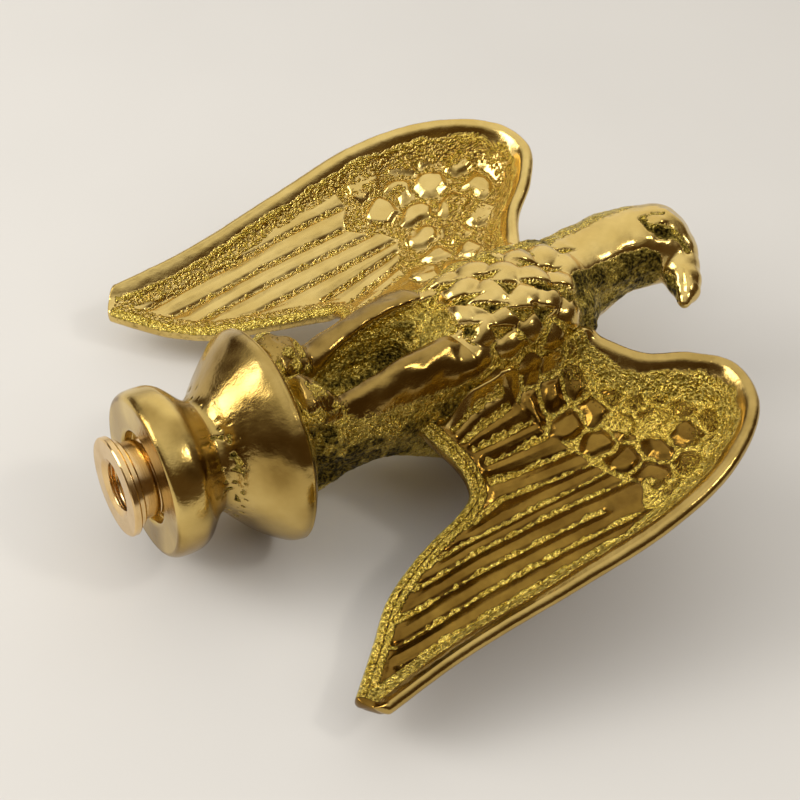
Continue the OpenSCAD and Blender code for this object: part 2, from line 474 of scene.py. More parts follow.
# The pattern of each wing in plan, in [x, distance from the pole axis]:
# worn is how much polish the coverts by the rim have lost, grooves part the long feathers from
# root to tip, coverts is [distance, x] where the coverts end, and pads are covert centres.
WINGS = {
    LEFT: {
        "node": "left_wing", "worn": 0.5, "seed": 11,
        "grooves": [
            [[87, 15], [75.5, 16]], [[89, 18], [76, 19.2]], [[90, 21], [76, 22.6]],
            [[94, 25.7], [78, 25.2]], [[95, 29.8], [80, 28.8]], [[100, 36], [79, 32.4]],
            [[100, 41.6], [79, 37], [68, 39.5]], [[101, 45.8], [65, 42.5], [56, 43.2]],
            [[103, 51], [85, 48], [66, 46.4], [50, 46.6]], [[93, 54.7], [66, 51.5], [43, 51]],
            [[100, 60.7], [80, 58.4], [61, 56.8], [38, 56]],
            [[104, 67], [95, 65], [76, 63], [39, 61]],
        ],
        "coverts": [
            [15, 88], [20, 91], [26, 94], [30, 95.5], [36, 100], [42, 100], [46, 101], [54, 103],
            [60, 101], [67, 104],
        ],
        "pads": [
            [91, 17.5], [96, 15.5], [103, 16], [110, 15.5], [95, 22.5], [101, 23], [107.5, 23],
            [113.5, 22.5], [101, 30], [108, 30.5], [114, 28.5], [117.5, 33], [104.5, 37.5],
            [111, 38], [117, 40.5], [122, 35.5], [124.5, 41.5], [106, 45.5], [113, 48],
            [120, 48.5], [129, 41.5], [127, 49], [108, 53.5], [116, 56], [123, 55.5], [109, 61],
        ],
    },
    RIGHT: {
        "node": "right_wing", "worn": 0.2, "seed": 23,
        "grooves": [
            [[93, 33], [76, 27]], [[95, 37], [76, 33]], [[96, 40.5], [74, 38.5]],
            [[97, 43.6], [58, 44.5], [50, 46.5]], [[93, 48.5], [62, 50], [46, 50.5]],
            [[87, 53.4], [48, 55.8], [38, 56.5]], [[91, 59], [48, 61.2], [34, 61]],
            [[89, 64.4], [47, 65], [36, 64.5]],
        ],
        "coverts": [
            [15, 90], [20, 92], [33, 94], [37, 96], [43.6, 98], [53, 88], [59, 92], [64, 90],
            [68, 88],
        ],
        "pads": [
            [99, 53], [98, 61.5], [105, 55.5], [109, 61], [116.5, 60.5], [105, 47.5], [113.5, 53],
            [122, 54], [104, 40], [111, 37], [115, 44.5], [123, 46], [118, 37.5], [129, 47],
            [110.5, 29], [103, 33], [117.5, 30], [104, 25.5], [112, 21.5], [98, 28.5], [97, 20],
            [105, 17.5],
        ],
    },
}


def wing_dish_drop(u, v, from_lead, from_trail):
    """How far the dished front lies below the straight line between the two rims."""
    front = np.interp(u, DISH_AT, DISH_DEPTH) * ramp(from_lead, *DISH_EDGE) * (1 - v) ** DISH_POWER
    return front + TRAIL_LIP * (1 - bump_of(from_trail, TRAIL_LIP_WIDTH)) * v


def feather_skin(flat, grooves):
    """Relief and polish of the long feathers, which are low and dull along their grooves."""
    groove = np.min([line_distance(flat[:, :2], line) for line in grooves], axis=0)
    relief = sum(depth * ramp(groove, 0, width) for depth, width in GROOVE_SIDES) - GROOVE_FLOOR
    ragged = groove + 0.45 * noise(flat, 0.9, 15) + 0.4 * noise(flat, 5.0, 16)
    return relief, ramp(ragged, *GROOVE_POLISH)


def covert_skin(flat, from_lead, pads, worn):
    """Relief, polish and pit of the coverts, which are domed pads round the given centres."""
    drift = np.stack([noise(flat, 3.4, seed) for seed in (5, 6)], axis=1)
    nearest, edge = cells(flat[:, :2] + PAD_DRIFT * drift, pads)
    reach = ramp(nearest, *PAD_REACH)
    relief = PAD_RISE * ramp(edge, *PAD_SLOPE) * reach - PAD_SINK
    polish = ramp(edge + 0.3 * noise(flat, 1.3, 8), *PAD_POLISH) * reach
    polish *= ramp(noise(flat, 5.0, 9), -0.75, -0.35)
    polish *= 1 - worn * ramp(from_lead, *PAD_WORN)
    return relief, polish, PAD_PIT * bump_of(edge, 0.5) * reach


def wing_relief(plan, from_lead, from_trail, pattern):
    """Feather relief in mm, and the polish and pit channels, at plan points of a wing."""
    flat = np.c_[plan, np.zeros(len(plan))]
    border = np.interp(plan[:, 1], *np.array(pattern["coverts"], float).T)
    inside = ramp(plan[:, 0] + 1.2 * noise(flat, 6.0, 3), border - 0.6, border + 0.6)
    feather, feather_polish = feather_skin(flat, pattern["grooves"])
    pad, pad_polish, pad_pit = covert_skin(flat, from_lead, pattern["pads"], pattern["worn"])

    relief = feather * (1 - inside) + pad * inside
    relief *= ramp(from_lead, 3.0, 6.0) * ramp(from_trail, 1.0, 2.6)
    polish = feather_polish * (1 - inside) + pad_polish * inside
    wall = ramp(from_lead + 0.4 * noise(flat, 3.0, 13), *WALL_START)
    wall_end = WALL_END + 0.8 * noise(flat, 4.0, 14)
    polish = np.where(from_lead < RIM_LAND, 1 - wall,
                      polish * ramp(from_lead, wall_end, wall_end + 1))
    polish *= ramp(from_trail, 0.4, 2.0)
    pit = WALL_PIT * wall * ramp(from_lead, wall_end + 1, wall_end)
    return relief, polish, np.maximum(pit, pad_pit * inside)


def outward(curve, other):
    """Level unit vectors pointing away from the other curve, evened out along the curve."""
    along = np.gradient(curve[:, :2], axis=0)
    normal = np.c_[along[:, 1], -along[:, 0]]
    normal /= np.linalg.norm(normal, axis=1)[:, None]
    if np.einsum("ij,ij->", normal, (curve - other)[:, :2]) < 0:
        normal = -normal
    spread = np.ones(NORMAL_SPREAD) / NORMAL_SPREAD
    padded = np.pad(normal, ((NORMAL_SPREAD // 2,) * 2, (0, 0)), mode="edge")
    normal = np.stack([np.convolve(padded[:, c], spread, "valid") for c in (0, 1)], axis=1)
    normal /= np.linalg.norm(normal, axis=1)[:, None]
    return np.c_[normal, np.zeros(len(curve))]


def wing_front(side, u, lead, trail, pattern):
    """Front skin of a wing as a grid, its polish and pit, and its distance from the front rim."""
    v = np.linspace(0, 1, WING_CHORD)
    grid = lead[:, None] * (1 - v)[None, :, None] + trail[:, None] * v[None, :, None]
    skin = grid.reshape(-1, 3)
    x, y = skin[:, 0], skin[:, 1]
    from_lead = line_distance(skin[:, :2], lead[::4, :2])
    from_trail = line_distance(skin[:, :2], trail[::4, :2])
    drop = wing_dish_drop(np.repeat(u, WING_CHORD), np.tile(v, WING_STATIONS), from_lead,
                          from_trail)
    relief, polish, pit = wing_relief(skin[:, :2], from_lead, from_trail, pattern)
    away = y - ROOT_START
    root = ROOT_RISE * np.exp(-np.maximum(away, 0) / ROOT_FADE) * ramp(away, *ROOT_INSIDE)
    root *= between(x, *ROOT_X)
    worn_smooth = np.interp(side * y, NEAR_FAR, [0, FAR_SMOOTH])
    polish = np.maximum(polish, worn_smooth * ramp(from_lead, 2, 4))
    pit *= 1 - FAR_CLEAN * worn_smooth
    skin[:, 2] += relief - drop + root
    return tuple(part.reshape(WING_STATIONS, WING_CHORD, -1).squeeze()
                 for part in (skin, polish, pit, from_lead))


def wing_sections(front, u, lead_out, trail_out):
    """Closed sections of a wing: front, trailing band and rim, back, and leading rim."""
    turn = np.linspace(0, math.pi, RIM_STEPS + 2)[1:-1]

    def rim(start, out, width, angles):
        return [start + out * width * math.sin(a) + DOWN * RIM_DEPTH / 2 * (1 - math.cos(a))
                for a in angles]

    band = [front[:, -1] + (trail_out * TRAIL_BAND + DOWN * BAND_FALL) * b
            for b in np.linspace(0.3, 1, BAND_ROWS)]
    lead_foot = front[:, 0] + DOWN * RIM_DEPTH
    trail_foot = band[-1] + DOWN * RIM_DEPTH
    back = []
    for b in np.linspace(1, 0, WING_BACK):
        belly = BACK_SWELL * (1 - (2 * b - 0.85) ** 4) * (1 - b) ** 0.6
        belly = np.maximum(belly * np.interp(u, DISH_AT, DISH_DEPTH), 0)
        back.append(lead_foot * (1 - b) + trail_foot * b + DOWN * belly[:, None])
    rows = (band + rim(band[-1], trail_out, TRAIL_RIM, turn) + back
            + rim(front[:, 0], lead_out, LEAD_RIM, turn[::-1]))
    return np.concatenate([front, np.stack(rows, axis=1)], axis=1)


def wing_tip(last):
    """Rings that round off the outer end of a wing, past its last section."""
    centre = last.mean(axis=0)
    angles = np.linspace(0, math.pi / 2, TIP_RINGS + 1)[1:]
    return np.stack([centre + (last - centre) * max(math.cos(a), TIP_SMALLEST)
                     + TIP_DIRECTION * TIP_REACH * math.sin(a) for a in angles])


def wing_channel(front, rest, tip, end):
    """Channel over a whole wing, from its front, the rest of its sections, its tip and ends."""
    sections = np.concatenate([front, np.tile(rest, (WING_STATIONS, 1))], axis=1)
    rounded = np.full((TIP_RINGS, sections.shape[1]), tip)
    return np.append(np.concatenate([sections, rounded]).ravel(), [end, end])


def wing(side, pattern):
    """One wing as a closed mesh: its sections from root to tip, then the rounded end."""
    u = np.linspace(0, 1, WING_STATIONS)
    lead, trail = catmull(LEADING, u), catmull(TRAILING, u)
    front, front_polish, front_pit, from_lead = wing_front(side, u, lead, trail, pattern)
    sections = wing_sections(front, u, outward(lead, trail), outward(trail, lead))
    rings = np.concatenate([sections, wing_tip(sections[-1])])

    rest = sections.shape[1] - WING_CHORD
    dull = BAND_ROWS + 3
    rest_polish = np.ones(rest)
    rest_polish[:dull] = 0
    rest_polish[0] = 0.5
    rest_pit = np.zeros(rest)
    rest_pit[dull:dull + 4] = 0.4
    rest_rim = np.zeros(rest)
    rest_rim[-RIM_STEPS:] = 1
    polish = wing_channel(front_polish, rest_polish, 1.0, 1.0)
    pit = wing_channel(front_pit, rest_pit, 0.0, 0.0)
    bare_rim = wing_channel(ramp(from_lead, 4.0, 2.4), rest_rim, 0.0, 0.0)
    around = rings.shape[1]
    bare_rim[:-2].reshape(-1, around)[:, -RIM_STEPS:] = 1

    points = np.concatenate([rings.reshape(-1, 3), rings[0].mean(axis=0)[None],
                             rings[-1].mean(axis=0)[None]])
    seed = pattern["seed"]
    points[:, 2] += WING_GRAIN * grain(points, 1.0, seed) * (1 - polish)
    points[:, 2] += (SLOW_WAVE * noise(points, 4.0, seed + 9)
                     + QUICK_WAVE * noise(points, 1.6, seed + 5))
    points[:, 1] *= side
    faces = tube_faces(len(rings), around)
    if side == RIGHT:
        faces = [f[:, ::-1] for f in faces]
    # Painted dark reflection with tarnish: the near wing turns brown by its side, its worn rim less
    # so.
    tarnish_and_dark_reflection = ramp(points[:, 1], *WING_TARNISH_AND_DARK_REFLECTION) * (1 - RIM_WEAR * bare_rim)
    channels = {"polish": polish, "pit": pit, "tarnish_and_dark_reflection": tarnish_and_dark_reflection}
    piece = make_piece(pattern["node"] + "_cast", points, faces, CASTING, channels)
    finish_piece(piece, "finial", "cast_brass", pattern["node"])


for wing_side, wing_pattern in WINGS.items():
    wing(wing_side, wing_pattern)

# ---- body, legs and head

TABLE_POINTS = 240


def swept(rows, power, round_end):
    """Field of a body along X. A row is x, centre y, centre z, half width, half height."""
    table = catmull(rows, np.linspace(0, 1, TABLE_POINTS))

    def field(x, y, z):
        cy, cz, w, h = (np.interp(x, table[:, 0], table[:, c]) for c in (1, 2, 3, 4))
        ratio = (np.abs((y - cy) / w) ** power + np.abs((z - cz) / h) ** power) ** (1 / power)
        side = (ratio - 1) * np.minimum(w, h)
        ends = np.maximum(table[0, 0] - x, x - table[-1, 0])
        return smooth_max(side, ends, round_end)

    return field


def chain(balls, reach):
    """Field of tapered links between balls. A ball is x, y, z, radius."""
    balls = np.asarray(balls, float)

    def field(x, y, z):
        total = None
        for a, b in zip(balls[:-1], balls[1:]):
            along = b[:3] - a[:3]
            px, py, pz = x - a[0], y - a[1], z - a[2]
            t = np.clip((px * along[0] + py * along[1] + pz * along[2]) / (along @ along), 0, 1)
            gap = np.sqrt((px - t * along[0]) ** 2 + (py - t * along[1]) ** 2
                          + (pz - t * along[2]) ** 2)
            link = gap - (a[3] + (b[3] - a[3]) * t)
            total = link if total is None else smooth_min(total, link, reach)
        return total

    return field


# Rows of x, centre z, half width and half height, the same for both legs and both feet.
LEG_ROWS = [[44.5, 8, 4.4, 6], [53.5, 8, 5.2, 8], [65.5, 9, 5.9, 9.8], [76.5, 10, 6.8, 9.8],
            [83.5, 10, 5.8, 7.4]]
FOOT_ROWS = [[38.5, 15, 5.5, 3.5], [42.5, 16, 6.5, 4.6], [47.5, 13, 5.6, 4.6], [50.5, 11, 4, 3.4]]
FOOT_Y = 7.4


def leg_field(lines):
    """A leg whose centre line is at the given distances from the axis."""
    return swept([[x, y, *row] for y, (x, *row) in zip(lines, LEG_ROWS)], 2.1, 3.5)


def foot_field(side):
    return swept([[x, FOOT_Y * side, *row] for x, *row in FOOT_ROWS], 2, 2)


Part = namedtuple("Part", "field join_reach voxel low high")
# Casting pieces: shape, fillet to the neighbours, voxel size, and the box that each is meshed in.
BODY = {
    "torso": Part(swept([[73.5, 0, 0, 11, 13], [83.5, 0, 0.6, 15.5, 21.3], [95.5, 0, 0.1, 18, 25],
                         [107.5, 0, 0.1, 18, 25], [118.5, 0, 4.1, 15, 17.4],
                         [123.5, 0, 6.1, 11, 12.4]], 2.6, 6),
                  3.5, 0.42, (70, -21, -27), (127, 21, 28)),
    "neck_head": Part(chain([[118.6, 5.4, 8, 12.8], [128.3, 6.3, 10.5, 11.5],
                             [136.3, 6.6, 13, 10.7], [142.5, 5.6, 14, 10.3],
                             [147.9, 4.1, 14.5, 10.1], [150.2, -0.9, 14.3, 7.0],
                             [149.6, -5.5, 14, 5.1], [148, -9.8, 13.8, 4.2],
                             [146.6, -12.7, 13.5, 3.2], [144.6, -14.7, 13.3, 1.8],
                             [143.7, -15.8, 13.2, 1.1]], 0.8),
                      6, 0.36, (106, -22, -10), (160, 20, 28)),
    "tail_block": Part(swept([[39.5, 0, 0, 14, 17], [47.5, 0, -1, 14.4, 10],
                              [59.5, 0, 0, 14.8, 7], [71.5, 0, -3, 15, 10],
                              [83.5, 0, -7, 14.6, 14]], 4, 1),
                       3, 0.42, (36, -17, -24), (90, 17, 20)),
    "left_leg": Part(leg_field((-9.6, -9.8, -9.2, -8.6, -9.4)),
                     5.5, 0.34, (42, -17, -2), (86, 1, 22)),
    "right_leg": Part(leg_field((4.6, 6.6, 8.6, 9.4, 9)),
                      5.5, 0.34, (42, -1, -2), (86, 17, 22)),
    "left_foot": Part(foot_field(LEFT), 1.6, 0.3, (35, -16, 6), (54, 1, 23)),
    "right_foot": Part(foot_field(RIGHT), 1.6, 0.3, (35, -1, 6), (54, 16, 23)),
}
# Field values are kept within this many voxels of the surface.
FIELD_BAND = 3.0
# How steeply a piece sinks under its neighbour, at once and further on, in mm per mm.
SINK_START = 0.5
SINK_DEEP = 4
SINK_DEEP_FROM = 1.5
NORMAL_STEP = 0.05


def joined(x, y, z):
    """Field of the whole body with fillets where its parts meet."""
    values = {name: part.field(x, y, z) for name, part in BODY.items()}
    total = None
    for name, value in values.items():
        total = value if total is None else smooth_min(total, value, BODY[name].join_reach)
    return total, values


def piece_field(name, x, y, z):
    """The joined field, sinking under the neighbours past the line where they meet."""
    total, values = joined(x, y, z)
    others = np.min(np.stack([v for key, v in values.items() if key != name]), axis=0)
    past = values[name] - others
    deep = np.maximum(past - SINK_DEEP_FROM, 0)
    return total + SINK_START * np.maximum(past, 0) + SINK_DEEP * deep


def normals_at(points):
    """Outward unit normals of the joined body."""
    normal = np.stack([joined(*(points + shift).T)[0] - joined(*(points - shift).T)[0]
                       for shift in NORMAL_STEP * np.eye(3)], axis=1)
    return normal / (np.linalg.norm(normal, axis=1)[:, None] + 1e-9)


LEG_RIDGES = [
    [[47.5, -10.5], [55, -10.6], [64, -9.4], [75.5, -8], [81.5, -9.6]],
    [[49.4, 2.6], [57, 5.6], [66.5, 7.6], [76, 8.4]],
]
BREAST_SCALES = [
    [119, 0.5, 22.8], [114.5, 5.9, 23.3], [112.6, -5.2, 23.7], [106.5, 6.2, 24.9],
    [105.5, -1.9, 25.5], [105.4, -9.5, 23.7], [99.8, 2.3, 25.6], [100.2, -6.8, 24.8],
    [98.5, -13, 20.5], [94.3, -1.8, 25.2], [93.5, -8.6, 23.8], [88.5, 3.5, 24.2],
    [89.9, -3.3, 24.3], [87.5, -9.8, 21.5], [84, -3.5, 21.4], [94, 8, 24], [100, 11, 23.5],
    [107, 13.5, 21.5], [114, 12, 20], [88, 10, 22], [93, 14, 20], [101, 17, 17],
    [108, 18, 14], [110, -12, 19.5], [104, -15.5, 17], [92, -15, 18.5], [84, -14, 17],
    [97, -17.8, 12], [89, -18, 11], [103, -18.5, 8], [110, -17, 12],
]
# Triangular pits between the breast scales: x, y, length, width, depth.
BREAST_PITS = [
    [119.1, 5.0, 3.4, 4.4, 1.6], [106.7, 2.9, 2.2, 4.6, 1.3], [112.4, -0.4, 3.2, 3.4, 1.7],
    [97.4, -2.8, 3.8, 3.6, 1.9], [106.3, -5.9, 3.6, 6.6, 2.3], [95.3, 2.6, 2.6, 4.0, 1.9],
    [87.1, -1.0, 3.0, 5.6, 1.8], [91.1, -5.9, 2.8, 5.4, 1.9], [97.3, -10.2, 3.4, 4.6, 1.6],
    [84.4, -7.6, 2.6, 3.0, 1.3], [90.9, -11.9, 3.0, 3.4, 1.4], [102.4, -11.9, 4.4, 3.0, 1.9],
    [99.5, 7.4, 3.0, 3.4, 1.5], [86.5, 5.6, 3.0, 4.5, 1.7], [111.5, -9.0, 3.6, 3.4, 1.6],
]
PIT_ALONG = np.array([-0.42, -0.91])
PIT_SHARE = 0.8
SCALE_REACH = 5.4
SCALE_RISE = 1.9
# The breast along the pole axis and in height, and where its pits are.
BREAST_X = (78, 82, 117, 122)
BREAST_Z = (2, 8)
BREAST_PIT_Z = (17.5, 21.5)
# The legs and the hollow between them.
LIMB_X = (46, 50, 82, 86)
HOLLOW_X = (44, 50, 81, 85)
HOLLOW_DEPTH = 1.6
THIGH_GAP = (84.5, -8.5)
# Lower edge of the polished cheek and neck, from the breast to the beak.
CHEEK = [[112, -8.5], [117, -2.6], [126.2, -0.6], [133.5, -0.6], [139.9, -1.6], [143.4, -3.6],
         [144.6, -6.6], [144.6, -10], [143.2, -13.4]]
# Cuts round the eye and behind the brow: points, width, depth, dirt.
HEAD_CUTS = [
    ([[143.8, 5.4], [146.0, 5.0], [148.4, 3.6]], 0.6, 0.25, 0.25),
    ([[143.0, 4.6], [142.9, 2.4], [144.4, 0.2], [147.0, -1.2]], 1.0, 1.0, 0.8),
    ([[147.0, -1.2], [149.4, -2.8], [150.8, -5.6]], 0.9, 0.6, 0.7),
    ([[145.9, -0.1], [147.9, -0.9]], 1.1, 0.8, 0.9),
]
EYE = [146.6, 2.2]
LORE = [[144.6, 1.0], [149.4, -1.8]]
BROW = [[149.6, 4.4], [152.4, 0], [152.2, -4]]
MOUTH = [[146.4, -9.4], [144.2, -14]]
HEAD_X = (110, 118)


def triangle_pits(plan):
    """Depth of the breast pits at plan points."""
    across = np.array([-PIT_ALONG[1], PIT_ALONG[0]])
    deep = np.zeros(len(plan))
    for x, y, length, width, depth in BREAST_PITS:
        gap = plan - np.array([x, y])
        p, q = gap @ PIT_ALONG / length, np.abs(gap @ across) / width
        inside = np.minimum(p + 0.5, 0.5 - p - q) * min(length, width)
        deep = np.maximum(deep, depth * ramp(inside, -0.25, 0.65))
    return deep


def beyond(points, line):
    """Signed distance to a polyline: positive on the left of its direction."""
    best = np.full(len(points), np.inf)
    signed = np.zeros(len(points))
    for a, along, gap in segment_gaps(points, line):
        distance = np.hypot(gap[:, 0], gap[:, 1])
        side = np.sign(along[0] * (points[:, 1] - a[1]) - along[1] * (points[:, 0] - a[0]))
        closer = distance < best
        best = np.where(closer, distance, best)
        signed = np.where(closer, side * distance, signed)
    return signed


class Skin:
    """Relief in mm along the normal, polish and pit over points of the joined body."""

    def __init__(self, points):
        self.points = points
        self.plan = points[:, :2]
        self.relief = np.zeros(len(points))
        self.polish = np.ones(len(points))
        self.pit = np.zeros(len(points))

    def strokes(self, stretch, size, seed):
        """Noise drawn out along the pole axis, as left by a chaser's tool."""
        return noise(self.points * np.array([stretch, 1, 1]), size, seed)


def breast_skin(skin):
    """Overlapping scales with triangular pits and dull grooves between them."""
    x, y, z = skin.points.T
    drift = 0.5 * np.stack([noise(skin.points, 4, seed) for seed in (31, 32, 33)], axis=1)
    nearest, edge = cells(skin.points + drift, BREAST_SCALES)
    breast = between(x, *BREAST_X) * ramp(z, *BREAST_Z)
    cap = 1 - (nearest / SCALE_REACH) ** 2
    holes = PIT_SHARE * triangle_pits(skin.plan + drift[:, :2]) * ramp(z, *BREAST_PIT_Z)
    skin.relief += breast * SCALE_RISE * (np.maximum(cap, 0) - 0.6) - holes
    flank = ramp(y, -11, -15)
    groove = ramp(edge, 0.6 + flank, 0.2 + 0.5 * flank) * breast
    groove *= ramp(noise(skin.points, 3, 35) + 1.1 * flank, 0.25, 0.7)
    crease = breast * ramp(y, 7.5, 11)
    skin.polish -= 0.9 * groove + ramp(holes, 0.35, 0.9) + crease
    skin.pit += 0.85 * ramp(holes, 0.8, 1.6) + 0.3 * groove + 0.5 * crease


def leg_skin(skin):
    """Polished ridges on the legs, a dirty hollow between them and a rough near side."""
    x, y, z = skin.points.T
    side = ramp(x, 84, 80) * ramp(y, -8, -12) * ramp(z, 15, 10)
    skin.polish -= 0.8 * side
    skin.pit += 0.45 * side * ramp(noise(skin.points, 2.5, 48), -0.5, 0.4)
    skin.relief += 0.45 * between(x, *LIMB_X) * ramp(z, 0, 6) * noise(skin.points, 5.0, 46)

    near_ridge, far_ridge = (np.interp(x, *np.array(ridge).T) for ridge in LEG_RIDGES)
    hollow = between(x, *HOLLOW_X) * ramp(z, 2, 6)
    hollow *= ramp(y - near_ridge, 2.2, 4.2) * ramp(far_ridge - y, 0.8, 2.8)
    strokes = skin.strokes(0.22, 1.5, 41)
    skin.relief += hollow * (0.6 * strokes - HOLLOW_DEPTH)
    skin.polish -= hollow
    skin.pit += hollow * (0.55 + 0.3 * strokes)

    for ridge in LEG_RIDGES:
        crest = bump_of(line_distance(skin.plan, ridge) + 0.5 * noise(skin.points, 3, 45), 1.7)
        crest *= ramp(z, 11, 14) * ramp(x, 86, 82)
        skin.relief += 0.5 * crest
        skin.polish = np.maximum(skin.polish, crest)
        skin.pit *= 1 - crest
    gap = bump_of(np.hypot(x - THIGH_GAP[0], y - THIGH_GAP[1]), 1.5) * ramp(z, 8, 12)
    skin.relief -= 1.1 * gap
    skin.polish -= gap
    skin.pit += gap


def low_skin(skin):
    """Granular, dirty skin low down on the legs and the tail."""
    x, _, z = skin.points.T
    height = z + 2.5 * noise(skin.points, 5, 43) - 0.12 * (x - 60)
    low = ramp(height, 10, 3) * ramp(x, 86, 80)
    skin.polish -= low
    skin.pit += low * (0.5 + 0.5 * ramp(x, 62, 47))


def foot_skin(skin):
    """Lumpy, half-worn skin on the feet."""
    x, _, z = skin.points.T
    foot = between(x, 34, 38, 48, 53)
    worn = ramp(noise(skin.points, 2.4, 49), -0.2, 0.3)
    skin.relief += foot * 0.9 * noise(skin.points, 3.0, 47)
    skin.polish -= foot * (0.25 + 0.55 * worn)
    skin.pit += foot * 0.5 * worn * ramp(z, 19, 15)


def throat_skin(skin):
    """Chased, dirty throat below the polished cheek, whose edge stands up a little."""
    x, _, z = skin.points.T
    head = ramp(x, *HEAD_X)
    under = beyond(skin.plan, CHEEK)
    throat = head * ramp(under, 0.4, -0.5) * ramp(z, 4, 9)
    hollow = head * ramp(under, 0.6, -2.8) * ramp(z, 4, 9)
    strokes = skin.strokes(0.4, 1.8, 53)
    skin.relief += head * ramp(z, 6, 12) * 0.2 * bump_of(under - 1.6, 2.4)
    skin.relief += hollow * (0.6 * strokes - 1.0)
    skin.polish -= throat
    skin.pit += throat * (0.75 + 0.3 * strokes)


def face_skin(skin):
    """Cuts round the eye, brow, eye and mouth."""
    x, y, z = skin.points.T
    for line, width, depth, dirt in HEAD_CUTS:
        gap = line_distance(skin.plan, line) + 0.45 * noise(skin.points, 1.4, 57)
        cut = bump_of(np.maximum(gap, 0), width) * ramp(z, 17, 20)
        skin.relief -= depth * cut
        skin.polish -= (0.4 + dirt) * cut
        skin.pit += dirt * cut
    skin.polish -= bump_of(line_distance(skin.plan, LORE), 0.8) * ramp(z, 17, 20)
    skin.relief += 0.55 * bump_of(line_distance(skin.plan, BROW), 1.5) * ramp(z, 15, 19)
    from_eye = np.hypot((x - EYE[0]) / 1.25, y - EYE[1])
    skin.relief += 0.5 * bump_of(from_eye, 1.3) * ramp(z, 18, 21)
    mouth = bump_of(line_distance(skin.plan, MOUTH), 0.5) * ramp(z, 14, 15.5)
    skin.relief -= 0.35 * mouth
    skin.pit += 0.5 * mouth


def crown_skin(skin):
    """Dull far side of the head and neck."""
    x, y, _ = skin.points.T
    crown = ramp(x, *HEAD_X) * ramp(y, 8, 12) * ramp(x, 150, 142)
    skin.polish -= 0.8 * crown
    skin.pit += 0.45 * crown


def body_relief(points):
    """Relief in mm along the normal, with polish and pit, anywhere on the joined body."""
    skin = Skin(points)
    for layer in (breast_skin, leg_skin, low_skin, foot_skin, throat_skin, face_skin, crown_skin):
        layer(skin)
    clean_back = 1 - ramp(points[:, 2], -4, -10)
    return skin.relief, np.clip(skin.polish, 0, 1), np.clip(skin.pit * clean_back, 0, 1)


# Painted dark reflection on the body's near side, and tarnish of the parts that are brown all over.
FLANK_PAINTED_DARK_REFLECTION = 0.5
DARK_TARNISH = 0.75
DARK_PIECES = ("leg", "tail", "foot")
BODY_GRAIN = 0.16
BODY_SLOW_WAVE = 0.12
BODY_QUICK_WAVE = 0.05


def body_piece(name, part):
    """One casting piece of the body, meshed from its field and then given its relief."""
    size = part.voxel
    x, y, z = (np.arange(a, b, size) for a, b in zip(part.low, part.high))
    values = piece_field(name, x[:, None, None], y[None, :, None], z[None, None, :])
    values = np.clip(values / size, -FIELD_BAND, FIELD_BAND)
    values = np.pad(values[1:-1, 1:-1, 1:-1], 1, constant_values=FIELD_BAND)
    grid = openvdb.FloatGrid(background=FIELD_BAND)
    grid.copyFromArray(values.astype(np.float32))
    points, _, quads = grid.convertToPolygons(isovalue=0.0, adaptivity=0.0)
    points = points * size + np.array(part.low)
    normal = normals_at(points)
    relief, polish, pit = body_relief(points)
    # Painted dark reflection: the body turns brown where it faces the near side, short of the neck.
    tarnish_and_dark_reflection = FLANK_PAINTED_DARK_REFLECTION * ramp(normal[:, 1], -0.25, -0.7) * ramp(points[:, 0], 112, 104)
    if any(word in name for word in DARK_PIECES):
        tarnish_and_dark_reflection = np.maximum(tarnish_and_dark_reflection, DARK_TARNISH)
    relief += BODY_GRAIN * grain(points, 1.0, 61) * (1 - polish)
    relief += BODY_SLOW_WAVE * noise(points, 4.0, 67) + BODY_QUICK_WAVE * noise(points, 1.5, 71)
    points = points + normal * relief[:, None]
    channels = {"polish": polish, "pit": pit, "tarnish_and_dark_reflection": tarnish_and_dark_reflection}
    piece = make_piece(name + "_cast", points, [quads.astype(int)], CASTING, channels)
    finish_piece(piece, "finial", "cast_brass", name)


for piece_name, casting_part in BODY.items():
    body_piece(piece_name, casting_part)

# ---- pedestal

# Profile of the pedestal as x, radius: the socket and the turned face, then the rounded outside.
SOCKET_OUTLINE = [(26, 0.01), (26, 9.15), (9.2, 9.15), (9.2, 10.8), (7.1, 10.8), (6.8, 11.2),
                  (6.8, 18.0)]
SPOOL_OUTLINE = [
    (6.8, 18.0), (7.0, 18.5), (7.6, 19.0), (8.8, 19.4), (11.6, 19.5), (13.8, 19.2),
    (15.9, 18.0), (17.9, 15.9), (19.8, 14.1), (21.4, 13.5), (23.2, 14.5), (25.4, 16.9),
    (28.2, 19.9), (31.0, 22.6), (33.3, 24.4), (34.7, 25.15), (36.0, 25.35), (37.0, 25.0),
    (39.6, 20.4), (41.6, 16.6), (43.4, 12),
]
FOOT_OUTLINE = [(43.4, 12), (43.5, 0.01)]
SPOOL_ROWS = 130
SOCKET_END = SOCKET_OUTLINE[0][0]
PEDESTAL_END = FOOT_OUTLINE[-1][0]
# The waist that the casting pits are in, the turned band of the collar, and its face.
WAIST_X = (17.5, 20, 22.5, 27)
COLLAR_X = (16, 20)
COLLAR_RADIUS = (17.5, 18)
FACE_X = (6.9, 7.4)
FACE_RADIUS = (11, 12)
LATHE_STEP = 0.45
LATHE_AROUND = 384


def resampled(outline, step):
    """Outline with a point at least every step, corners kept."""
    outline = np.asarray(outline, float)
    rows = [outline[:1]]
    for a, b in zip(outline[:-1], outline[1:]):
        count = max(1, int(math.ceil(np.linalg.norm(b - a) / step)))
        t = np.linspace(0, 1, count + 1)[1:, None]
        rows.append(a * (1 - t) + b * t)
    return np.concatenate(rows)


def turned(outline, around):
    """Points of an outline turned about the pole axis, and the angle of each."""
    x, r = np.repeat(outline, around, axis=0).T
    a = np.tile(np.arange(around) * 2 * math.pi / around, len(outline))
    return np.stack([x, r * np.cos(a), r * np.sin(a)], axis=1), a


